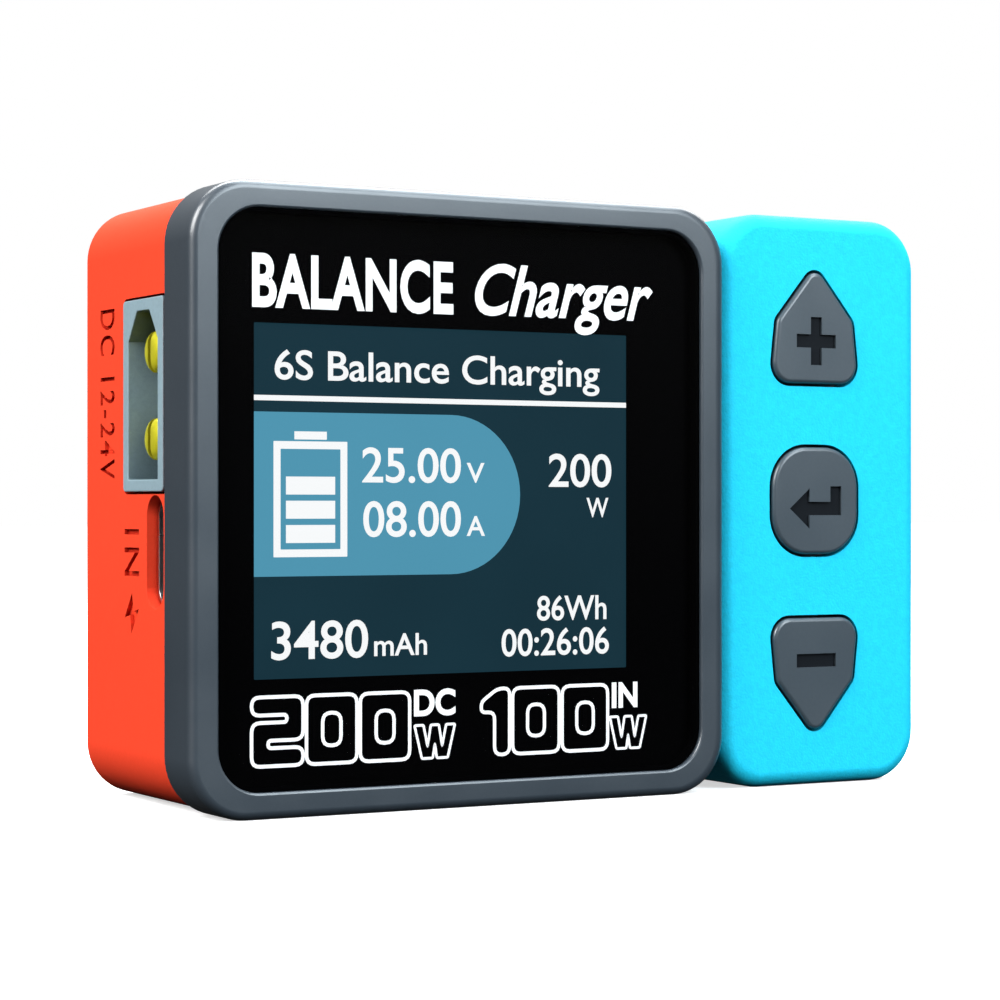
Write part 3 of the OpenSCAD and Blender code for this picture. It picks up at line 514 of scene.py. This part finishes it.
ALUMINIUM = surface("extruded_aluminium", (0.50, 0.51, 0.53), 0.35, metallic=1.0, grain_mm=0.1,
                    grain=0.15, stretch=(1, 1, 0.08))
FERRITE = surface("ferrite", (0.07, 0.07, 0.075), 0.65, grain_mm=0.1, grain=0.4, mottle=0.1)
COPPER = surface("enamelled_copper", (0.62, 0.22, 0.08), 0.3, metallic=1.0, grain_mm=0.2, grain=0.3,
                 stretch=(1, 0.2, 1))
BRONZE = surface("sintered_bronze", (0.50, 0.34, 0.14), 0.45, metallic=1.0, grain_mm=0.08, grain=0.4,
                 mottle=0.12)
SHUNT = surface("shunt_alloy", (0.50, 0.38, 0.20), 0.4, metallic=1.0, grain_mm=0.1, grain=0.1,
                stretch=(0.1, 1, 1))
PAD = surface("thermal_pad", (0.32, 0.38, 0.44), 0.8, grain_mm=0.2, grain=0.4, mottle=0.08)
FOAM = surface("adhesive_foam", (0.014, 0.014, 0.014), 0.9, grain_mm=0.1, grain=0.6)
FILM = surface("ribbon_film", (0.55, 0.26, 0.04), 0.3, grain_mm=0.3, grain=0.05, mottle=0.1,
               stretch=(1, 1, 6))
WIRE = surface("wire_silicone", (0.42, 0.012, 0.012), 0.5, grain_mm=0.1, grain=0.1)
CAN = surface("capacitor_can", (0.70, 0.72, 0.74), 0.3, metallic=1.0, grain_mm=0.1, grain=0.1,
              stretch=(1, 0.1, 1))
LIGHT_GUIDE = surface("light_guide", (0.85, 0.86, 0.86), 0.3, grain_mm=0.2, grain=0.1, mottle=0.02)
LCD_DARK = lit_pixels("lcd_background", (0.0085, 0.0355, 0.0515), fade=0.16)
LCD_BLUE = lit_pixels("lcd_panel", (0.082, 0.315, 0.455), fade=0.05)
LCD_WHITE = lit_pixels("lcd_white", (0.97, 0.99, 1.0))


# ---- Front: bezel, cover glass with its print, and the display --------------------------------------

glass_low, glass_high = span("front_glass")
lens_w, lens_h = glass_high.x - glass_low.x, glass_high.z - glass_low.z
# The bezel's window: the radius of its corners, and the gap left round the glass
WINDOW_R = 3.6
WINDOW_PLAY = 0.02
# The print and the black ink lie behind the clear part of the glass, within its thickness
GLASS_BACK = glass_high.y - 0.08
PRINT_Y = glass_high.y - 0.045
INK_Y = glass_high.y - 0.03


def bezel():
    low, high = span("front_bezel")
    cx, w, h = (low.x + high.x) / 2, high.x - low.x, high.z - low.z
    corner_r, outer_round, inner_round, back_bevel = 5.0, 0.75, 0.22, 0.2
    ledge_y, ledge_w, ledge_h, ledge_r = 1.6, 42.8, 35.6, 1.0
    back = 5.4

    def outer(inset):
        # the rounding of the right edge is half as wide again as the others
        right_inset = 1.5 * inset
        return rounded_rect(cx + (inset - right_inset) / 2, MID, w - inset - right_inset, h - 2 * inset,
                            corner_r - inset, CORNER_STEPS)

    def window(grow):
        play = 2 * (WINDOW_PLAY + grow)
        return rounded_rect(cx, MID, lens_w + play, lens_h + play, WINDOW_R + grow, CORNER_STEPS)

    ledge = rounded_rect(cx, MID, ledge_w, ledge_h, ledge_r, CORNER_STEPS)
    sections = [(ledge, back), (outer(back_bevel), back), (outer(0), back - back_bevel)]
    quarter = [math.pi / 2 * i / 8 for i in range(9)]
    for a in quarter:
        sections.append((outer(outer_round * (1 - math.cos(a))), outer_round * (1 - math.sin(a))))
    for a in quarter:
        sections.append((window(inner_round * (1 - math.sin(a))), inner_round * (1 - math.cos(a))))
    sections += [(window(0), ledge_y), (ledge, ledge_y)]
    piece(solid("bezel", loft(sections, closed=True)), "housing", BEZEL, "bezel_grey", ["front_bezel"], 45)


# The lit picture: its left edge, its middle height and its size
PICTURE_X = 6.12
PICTURE_Z = MID - 0.08
PICTURE_W = 35.1
PICTURE_H = 28.6


def cover_glass():
    """The clear plate, the black ink round its picture, and a black band along its edge."""
    cx = (glass_low.x + glass_high.x) / 2
    edge_round, edge_w, edge_depth, ink_inset = 0.03, 0.3, 0.06, 0.02

    def outline(inset):
        return rounded_rect(cx, MID, lens_w - 2 * inset, lens_h - 2 * inset,
                            WINDOW_R - WINDOW_PLAY - inset, CORNER_STEPS)

    shape = slab(outline, glass_low.y, GLASS_BACK, edge_round, edge_round)
    piece(solid("cover_glass", shape), "housing", GLASS, "black_glass", ["front_glass"])
    hole = rounded_rect(PICTURE_X + PICTURE_W / 2, PICTURE_Z, PICTURE_W, PICTURE_H, 0.1, CORNER_STEPS)
    ink = frame_band(outline(ink_inset), hole, INK_Y, glass_high.y)
    edge = frame_band(outline(ink_inset), outline(edge_w), glass_low.y + edge_depth, INK_Y)
    piece(solid("glass_ink", ink, edge), "housing", INK, "black_glass")


def display():
    """The charging screen: thin lit layers, one in front of the other, behind the glass."""
    screen_y, overlap, line_r, layer = glass_high.y + 0.13, 0.3, 0.05, 0.01
    field_y, reading_y = screen_y - 0.015, screen_y - 0.03
    left, right = PICTURE_X - overlap, PICTURE_X + PICTURE_W + overlap
    low, high = PICTURE_Z - PICTURE_H / 2 - overlap, PICTURE_Z + PICTURE_H / 2 + overlap
    background = box(left, right, screen_y, screen_y + 0.015, low, high)
    piece(solid("display_background", background), "housing", LCD_DARK, "lcd_glass")

    # pale field with a half round right end, behind the battery and the two main readings
    field_low, field_high, field_end = MID - 6.15, MID + 7.1, 30.75
    r = (field_high - field_low) / 2
    outline = [(left, field_high), (left, field_low)] + arc(field_end - r, field_low + r, r, -90, 90, 32)
    field = prism(outline, field_y, field_y + layer)
    piece(solid("display_field", field), "housing", LCD_BLUE, "lcd_glass")

    # the readings: from the left edge, and up from the middle
    def text(words, x, z, width, cap, **style):
        return word(words, width, cap, on_front(x, MID + z, reading_y + layer, layer), **style)

    def bar(x0, x1, z0, z1):
        return box(x0, x1, reading_y, reading_y + layer, MID + z0, MID + z1)

    def outline_bar(x0, x1, z0, z1, line):
        cx, cz, w, h = (x0 + x1) / 2, MID + (z0 + z1) / 2, x1 - x0, z1 - z0
        outer = rounded_rect(cx, cz, w, h, line_r, 2)
        inner = rounded_rect(cx, cz, w - 2 * line, h - 2 * line, line_r, 2)
        return frame_band(outer, inner, reading_y, reading_y + layer)

    bold = {"bold": 0.012}
    battery_x0, battery_x1 = 7.9, 14.5
    battery_cells, cell_h = (0.45, -1.5, -3.46), 1.45
    shapes = [
        bar(left, right, 8.0, 8.43),
        text("6S Balance Charging", 8.0, 9.75, 30.6, 2.3, **bold),
        outline_bar(battery_x0, battery_x1, -4.6, 4.75, 0.62),
        bar(battery_x0 + 1.85, battery_x1 - 1.85, 4.9, 5.55),
        text("25.00", 15.85, 1.5, 9.2, 2.75, **bold),
        text("V", 25.6, 1.5, 1.7, 1.6, **bold),
        text("08.00", 15.95, -2.95, 9.1, 2.8, **bold),
        text("A", 25.6, -2.95, 1.75, 1.6, **bold),
        text("200", 33.55, 1.2, 6.25, 2.7, **bold),
        text("W", 37.3, -1.4, 2.2, 1.6, **bold),
        text("3480", 7.7, -12.8, 8.7, 2.95, **bold),
        text("mAh", 16.95, -12.75, 4.9, 1.75, **bold),
        text("86Wh", 32.4, -10.15, 6.9, 2.0, **bold),
        text("00:26:06", 28.95, -13.1, 10.6, 2.2, **bold),
    ]
    for z0 in battery_cells:
        shapes.append(bar(battery_x0 + 1.1, battery_x1 - 1.1, z0, z0 + cell_h))
    piece(solid("display_readings", *shapes), "housing", LCD_WHITE, "lcd_glass")


def outlined(polygon, r, width, place):
    """The line round a polygon, as a closed shape: the way the big rating numerals are drawn."""
    path = fillet(polygon, r)
    outer, inner = offset(path, width / 2), offset(path, -width / 2)
    verts, faces = frame_band(outer, inner, 0, 1)
    return [place(x, z, t) for x, t, z in verts], faces


def numeral(character, x, w, h, t):
    """Outlines, anticlockwise, of a square numeral drawn with strokes t thick."""
    m = h / 2
    shapes = {
        "0": [[(0, 0), (w, 0), (w, h), (0, h)],
              [(t, t), (w - t, t), (w - t, h - t), (t, h - t)]],
        "1": [[(w - t, 0), (w, 0), (w, h), (w - 0.8 * t, h), (0, h - 0.75 * t), (0, h - 1.35 * t),
               (w - t, h - 1.35 * t)]],
        "2": [[(0, 0), (w, 0), (w, t), (t, t), (t, m - t / 2), (w, m - t / 2), (w, h), (0, h), (0, h - t),
               (w - t, h - t), (w - t, m + t / 2), (0, m + t / 2)]],
        "W": [[(0.18 * w, 0), (0.45 * w, 0), (0.5 * w, 0.42 * h), (0.55 * w, 0), (0.82 * w, 0), (w, h),
               (0.78 * w, h), (0.68 * w, 0.36 * h), (0.6 * w, h), (0.4 * w, h), (0.32 * w, 0.36 * h),
               (0.22 * w, h), (0, h)]],
    }
    return [[(x + px, pz) for px, pz in path] for path in shapes[character]]


def glass_print():
    """White marks behind the cover glass: the two rows above and below the display."""
    ink_t = 0.015
    title_z, unit_z, rating_z = 15.62, -17.75, -21.35

    def text(words, x, z, width, cap, **style):
        return word(words, width, cap, on_front(x, MID + z, PRINT_Y, ink_t), **style)

    def outline_text(characters, x, w, h, stroke, gap, line, r):
        shapes = []
        for character in characters:
            width = 0.6 * w if character == "1" else w
            for path in numeral(character, x, width, h, stroke):
                shapes.append(outlined(path, r, line, on_front(0, MID + rating_z, PRINT_Y, ink_t)))
            x += width + gap
        return shapes

    shapes = [
        text("BALANCE", 5.95, title_z, 18.3, 4.0, bold=0.03, spacing=1.05),
        text("Charger", 26.3, title_z, 17.6, 4.1, bold=0.018, slant=0.32),
        text("DC", 20.55, unit_z, 3.9, 2.0, bold=0.035),
        text("IN", 39.75, unit_z, 2.6, 2.0, bold=0.035),
    ]
    for number, number_x, unit_x, unit_w in (("200", 5.9, 20.6, 3.8), ("100", 26.9, 39.55, 3.7)):
        shapes += outline_text(number, number_x, 4.55, 5.55, stroke=1.45, gap=0.3, line=0.3, r=0.75)
        shapes += outline_text("W", unit_x, unit_w, 2.75, stroke=1.0, gap=0, line=0.22, r=0.12)
    piece(solid("glass_print", *shapes), "housing", PRINT, "white_plastic")


# ---- Cases ------------------------------------------------------------------------------------------

def bolt(place):
    """Lightning bolt, the mark beside a charging port."""
    path = [(0, 1.6), (2.1, 0), (1.85, 1.2), (3.4, 1.45), (1.3, 3.1), (1.55, 1.9)]
    verts, faces = prism(path, 0, 1)
    return [place(u, v, t) for u, t, v in verts], faces


def rear_shell():
    """The rear case with the port marks engraved in its left side."""
    shell = soften(from_cad("rear_shell", "rear_case"), 0.14)
    cap, depth, outside = 3.1, 0.35, 0.5
    start = span("rear_case")[0].x - outside

    def mark_place(y, z):
        return on_left(y, MID + z, start, outside + depth)

    marks = [
        word("DC 12-24V", 14.4, cap, mark_place(21.7, 16.2), bold=0.012, spacing=1.2),
        word("IN", 3.9, cap, mark_place(16.2, -2.4), bold=0.012, spacing=1.35),
        bolt(mark_place(16.2, -7.7)),
    ]
    cut(shell, *marks)
    piece(shell, "housing", ORANGE, "orange_plastic", ["rear_case"])


def module_shell():
    shell = soften(from_cad("module_shell", "side_case"), 0.12)
    piece(shell, "housing", BLUE, "blue_plastic", ["side_case"])
    cover = soften(from_cad("module_back_cover", "side_back_cover"), 0.2)
    piece(cover, "housing", BLUE, "blue_plastic", ["side_back_cover"])


# ---- Keys -------------------------------------------------------------------------------------------

KEY_ROUND = 0.38
# The flange that holds a key in the module: how far it reaches past the cap, and its thickness
FLANGE_LIP = 0.6
FLANGE_T = 0.9
# The sunk symbols: their depth, the thickness of their dark floor and the play round it
SYMBOL_DEPTH = 0.28
SYMBOL_FLOOR = 0.05
SYMBOL_PLAY = 0.004
# Arc centres and radii of the upper key's corners, and the foot of its outline, all from its symbol
ARROW_CORNERS = [(-2.77, -2.02, 1.8), (2.77, -2.02, 1.8), (3.1, 1.37, 1.1), (0, 5.05, 1.1),
                 (-3.1, 1.37, 1.1)]
ARROW_FOOT = 3.82
ENTER_W, ENTER_H, ENTER_R = 9.3, 9.6, 3.6


def arrow_outline(inset, x, z, up):
    """The upper key's outline about its symbol; with up = -1 the lower key's."""
    return [(x + px, z + up * pz) for px, pz in round_outline(ARROW_CORNERS, -inset)]


def square_outline(inset, x, z, up):
    """The middle key's outline, which is the same either way up."""
    return rounded_rect(x, z, ENTER_W - 2 * inset, ENTER_H - 2 * inset, ENTER_R - inset)


# Symbols, anticlockwise from their middle; the plus and the minus have bars of one size
BAR, REACH = 0.6, 2.15
PLUS = [(-BAR, -REACH), (BAR, -REACH), (BAR, -BAR), (REACH, -BAR), (REACH, BAR), (BAR, BAR),
        (BAR, REACH), (-BAR, REACH), (-BAR, BAR), (-REACH, BAR), (-REACH, -BAR), (-BAR, -BAR)]
MINUS = [(-REACH, -BAR), (REACH, -BAR), (REACH, BAR), (-REACH, BAR)]
RETURN = [(-2.9, -0.7), (-0.75, -2.5), (-0.75, -1.3), (2.75, -1.3), (2.75, 1.3), (1.55, 1.3), (1.55, -0.1),
          (-0.75, -0.1), (-0.75, 1.1)]


def key(node, body, outline, symbol, up=1):
    """A key with its flange and sunk symbol; up is -1 for a key that points down."""
    low, high = span(node)
    x = (low.x + high.x) / 2
    foot = ARROW_FOOT + FLANGE_LIP
    if outline is square_outline:
        z = (low.z + high.z) / 2
    else:
        z = low.z + foot if up > 0 else high.z - foot
    flange_y = high.y - FLANGE_T
    pairs = rounded_depths(low.y, flange_y, KEY_ROUND, 0)
    sections = [(outline(inset, x, z, up), depth) for inset, depth in pairs]
    sections += [(outline(-FLANGE_LIP, x, z, up), flange_y), (outline(-FLANGE_LIP, x, z, up), high.y)]
    cap = solid(node.replace("key", "button"), loft(sections))
    path = [(x + px, z + pz) for px, pz in symbol]
    floor_y = low.y + SYMBOL_DEPTH
    cut(cap, prism(path, low.y - 1, floor_y))
    piece(cap, body, KEY, "key_grey", [node])
    dark_floor = prism(offset(path, -SYMBOL_PLAY), floor_y - SYMBOL_FLOOR, floor_y)
    piece(solid(node + "_symbol", dark_floor), body, SYMBOL, "switch_plastic")


# ---- Outlets, fan and screws: the CAD shapes with their edges rounded; inner parts: the CAD shapes with their finish ---

REFINED = [
    # node, edge rounding in mm, material, slot
    ("dc_input_housing", 0.14, PORT_GREY, "connector_grey"),
    ("usb_c_shell", 0.05, STEEL, "steel"),
    ("usb_c_tongue", 0.06, CHIP, "chip_black"),
    ("output_housing", 0.12, PORT_GREY, "connector_grey"),
    ("output_sockets", 0.08, BRASS, "gold_contact"),
    ("balance_socket", 0.10, WHITE_NYLON, "white_plastic"),
    ("balance_pins", 0.06, GOLD, "gold_contact"),
    ("fan_grille", 0.18, GRILLE, "grille_plastic"),
    ("fan_frame", 0.12, FAN_BLACK, "fan_plastic"),
    ("case_screws", 0.12, SCREW, "screw_black"),
    ("side_cover_screws", 0.10, SCREW, "screw_black"),
    ("fan_screws", 0.10, SCREW, "screw_black"),
]

INNER = {
    "glass_adhesive": FOAM, "lcd_cell": INK, "lcd_backlight": LIGHT_GUIDE, "lcd_frame": STEEL,
    "lcd_ribbon": FILM, "ribbon_connector": WHITE_NYLON, "main_board": BOARD, "microcontroller": CHIP,
    "heatsink": ALUMINIUM, "thermal_pad": PAD, "mosfets": CHIP, "power_inductors": FERRITE,
    "capacitors": CAN, "current_shunts": SHUNT, "balance_resistors": CHIP, "buzzer": CHIP,
    "fan_bearing": BRONZE, "fan_stator": COPPER, "fan_magnet": FERRITE, "fan_rotor": FAN_BLACK,
    "fan_plug": WHITE_NYLON, "fan_lead": WIRE, "switch_bodies": CHIP, "plunger_up": CHIP,
    "plunger_enter": CHIP, "plunger_down": CHIP, "board_screws": STEEL,
}


def inlet_pins():
    """Round-nosed pins, each split by an upright slit so that it springs."""
    low, high = span("dc_input_housing")
    y, z = (low.y + high.y) / 2, (low.z + high.z) / 2
    tip, tail = span("dc_input_pins")[0].x, span("dc_input_pins")[1].x
    pitch, r, slit, slit_depth = 7.2, 1.75, 0.6, 4.0
    centres = [z - pitch / 2, z + pitch / 2]
    pins = from_cad("inlet_pins", "dc_input_pins")
    # a core just inside each pin fills the CAD shape's crossed slits; the upright one is cut again, wider
    core_r, core_end = r - 0.02, tip + slit_depth + 1
    core = [(core_r, tip), (core_r, core_end)]
    boolean(pins, "UNION", *[lathe(core, y, centre) for centre in centres])
    # the nose is rounded down to a small flat; behind it the pins and their legs stay whole
    flat, nose = 0.7, 0.7
    legs_x, legs_r = high.x - 7, pitch / 2 - 0.01
    quarter = [math.pi / 16 * i for i in range(9)]
    profile = [(flat + (r - flat) * math.sin(a), tip + nose * (1 - math.cos(a))) for a in quarter]
    profile += [(r + 0.1, legs_x), (legs_r, legs_x), (legs_r, tail + 1)]
    boolean(pins, "INTERSECT", *[lathe(profile, y, centre) for centre in centres])
    cut(pins, box(tip - 1, tip + slit_depth, y - slit / 2, y + slit / 2, low.z, high.z))
    piece(pins, "housing", BRASS, "gold_contact", ["dc_input_pins"])


def outer_parts():
    for node, width, material, slot in REFINED:
        obj = soften(from_cad(node + "_detail", node), width)
        piece(obj, "housing", material, slot, [node])


def inner_parts():
    for node, material in INNER.items():
        mesh = nodes[node].data
        mesh.materials.clear()
        mesh.materials.append(material)


# ---- Studio -----------------------------------------------------------------------------------------

def area_light(name, place, target, width, height, power, colour=(1, 1, 1)):
    light = bpy.data.lights.new(name, "AREA")
    light.shape = "RECTANGLE"
    light.size, light.size_y = width, height
    light.energy = power
    light.color = colour
    obj = bpy.data.objects.new(name, light)
    obj.location = place
    obj.rotation_euler = (Vector(target) - Vector(place)).to_track_quat("-Z", "Y").to_euler()
    obj.visible_camera = False
    scene.collection.objects.link(obj)


def studio():
    """Five soft lights, a pale sky that the camera sees as white, and the floor."""
    middle = (0, 0, 0.026)
    cool = (0.81, 0.925, 1.0)
    # name, place, what it points at, width, height, watts, colour
    area_light("front_softbox", (0.20, -0.47, 0.33), middle, 0.32, 0.42, 3.5, cool)
    area_light("left_softbox", (-0.42, -0.16, 0.32), middle, 0.30, 0.30, 3.9)
    area_light("top_softbox", (0.12, 0.02, 0.40), middle, 0.46, 0.20, 1.7, cool)
    area_light("back_softbox", (0.05, 0.26, 0.48), middle, 0.40, 0.24, 2.4)
    area_light("right_softbox", (0.34, 0.20, 0.40), middle, 0.30, 0.30, 1.3)

    sky()
    paper_floor()
    scene.view_settings.view_transform = "Standard"
    scene.view_settings.look = "None"


def sky():
    """White to the camera; as a light, weak from above and next to nothing from below."""
    world = bpy.data.worlds.new("studio")
    world.use_nodes = True
    tree = world.node_tree
    background = tree.nodes["Background"]
    path = tree.nodes.new("ShaderNodeLightPath")
    place = tree.nodes.new("ShaderNodeTexCoord")
    split = tree.nodes.new("ShaderNodeSeparateXYZ")
    tree.links.new(place.outputs["Generated"], split.inputs["Vector"])
    ambient = ramp(tree, split.outputs["Z"], 0.02, 0.30, -0.05, 0.5)
    level = tree.nodes.new("ShaderNodeMix")
    tree.links.new(path.outputs["Is Camera Ray"], level.inputs["Factor"])
    tree.links.new(ambient, level.inputs["A"])
    level.inputs["B"].default_value = 1.0
    tree.links.new(level.outputs["Result"], background.inputs["Strength"])
    background.inputs["Color"].default_value = (1, 1, 1, 1)
    scene.world = world


def paper_floor():
    """A sheet of white paper that glows more away from the object, so that it ends without an edge."""
    half, glow_near, glow_far, near, far = 3.0, 0.6, 1.05, 0.05, 0.45
    corners = [(-half, -half, 0), (half, -half, 0), (half, half, 0), (-half, half, 0)]
    mesh = bpy.data.meshes.new("floor")
    mesh.from_pydata(corners, [], [(0, 1, 2, 3)])
    floor = bpy.data.objects.new("floor", mesh)
    material, tree, shader = node_material("floor_paper")
    tree.links.new(blend_colours(tree, noise(tree, 40.0, 2.0), (0.84, 0.84, 0.84), (0.90, 0.90, 0.90)),
                   shader.inputs["Base Color"])
    shader.inputs["Roughness"].default_value = 0.9
    shader.inputs["Specular IOR Level"].default_value = 0.1
    shader.inputs["Emission Color"].default_value = (1, 1, 1, 1)
    away = tree.nodes.new("ShaderNodeVectorMath")
    away.operation = "LENGTH"
    tree.links.new(tree.nodes.new("ShaderNodeTexCoord").outputs["Object"], away.inputs[0])
    tree.links.new(ramp(tree, away.outputs["Value"], glow_near, glow_far, near, far),
                   shader.inputs["Emission Strength"])
    mesh.materials.append(material)
    floor.visible_glossy = False
    floor.visible_diffuse = False
    scene.collection.objects.link(floor)


def camera():
    data = bpy.data.cameras.new("camera")
    data.sensor_width = 36
    data.lens = 98.9
    data.shift_y = 0.0063
    data.clip_start = 0.01
    data.clip_end = 50
    obj = bpy.data.objects.new("camera", data)
    obj.location = (-0.1212, -0.2120, 0.0250)
    obj.rotation_euler = (math.radians(90), 0, math.radians(-29.5))
    scene.collection.objects.link(obj)
    scene.camera = obj


bezel()
cover_glass()
display()
glass_print()
rear_shell()
module_shell()
key("key_up", "upper_key", arrow_outline, PLUS, 1)
key("key_enter", "middle_key", square_outline, RETURN)
key("key_down", "lower_key", arrow_outline, MINUS, -1)
inlet_pins()
outer_parts()
inner_parts()
studio()
camera()
